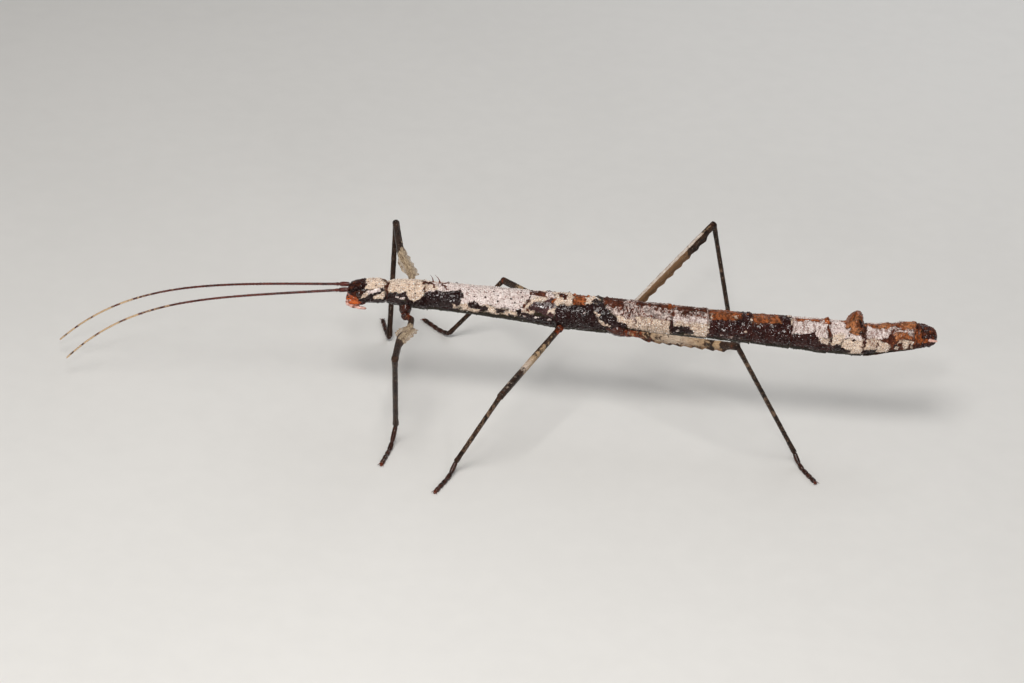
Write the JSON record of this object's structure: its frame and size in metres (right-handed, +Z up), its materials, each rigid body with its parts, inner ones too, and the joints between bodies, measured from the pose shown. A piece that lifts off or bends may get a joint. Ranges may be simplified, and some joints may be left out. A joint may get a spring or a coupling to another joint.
{
  "type": "stick insect",
  "caption": "Life-size still model of a wild, wingless female stick insect with mottled bark-like cuticle, long antennae and slender legs, standing on its feet.",
  "frame": {"origin": "middle of the model's footprint, at floor level", "axes": "+X towards the tail, +Y to the insect's right, +Z up"},
  "size_m": [0.1348, 0.0536, 0.0244],
  "materials": {
    "body_cuticle": "granular, mottled cream, lilac white, orange brown and black bark-like cuticle, satin",
    "leg_cuticle": "ridged, mottled dark brown cuticle with cream patches, satin",
    "foot": "dark, beaded and shiny cuticle",
    "antenna": "fine dark red-brown thread turning pale tan, minutely bristly",
    "mouthparts": "glossy orange-red and brown cuticle",
    "eye": "polished dark brown eye"
  },
  "bodies": {
    "root": {"head": "body_cuticle", "eye_left": "eye", "eye_right": "eye", "mouthparts": "mouthparts", "antenna_left": "antenna", "antenna_right": "antenna", "prothorax": "body_cuticle", "mesothorax": "body_cuticle", "metathorax": "body_cuticle", "abdomen_2": "body_cuticle", "abdomen_3": "body_cuticle", "abdomen_4": "body_cuticle", "abdomen_5": "body_cuticle", "abdomen_6": "body_cuticle", "abdomen_7": "body_cuticle", "abdomen_8": "body_cuticle", "abdomen_9": "body_cuticle", "abdomen_10": "body_cuticle", "subgenital_plate": "body_cuticle", "left_fore_coxa": "leg_cuticle", "left_fore_femur": "leg_cuticle", "left_fore_tibia": "leg_cuticle", "left_fore_tarsus": "foot", "left_mid_coxa": "leg_cuticle", "left_mid_femur": "leg_cuticle", "left_mid_tibia": "leg_cuticle", "left_mid_tarsus": "foot", "left_hind_coxa": "leg_cuticle", "left_hind_femur": "leg_cuticle", "left_hind_tibia": "leg_cuticle", "left_hind_tarsus": "foot", "right_fore_coxa": "leg_cuticle", "right_fore_femur": "leg_cuticle", "right_fore_tibia": "leg_cuticle", "right_fore_tarsus": "foot", "right_mid_coxa": "leg_cuticle", "right_mid_femur": "leg_cuticle", "right_mid_tibia": "leg_cuticle", "right_mid_tarsus": "foot", "right_hind_coxa": "leg_cuticle", "right_hind_femur": "leg_cuticle", "right_hind_tibia": "leg_cuticle", "right_hind_tarsus": "foot"}
  },
  "joints": []
}
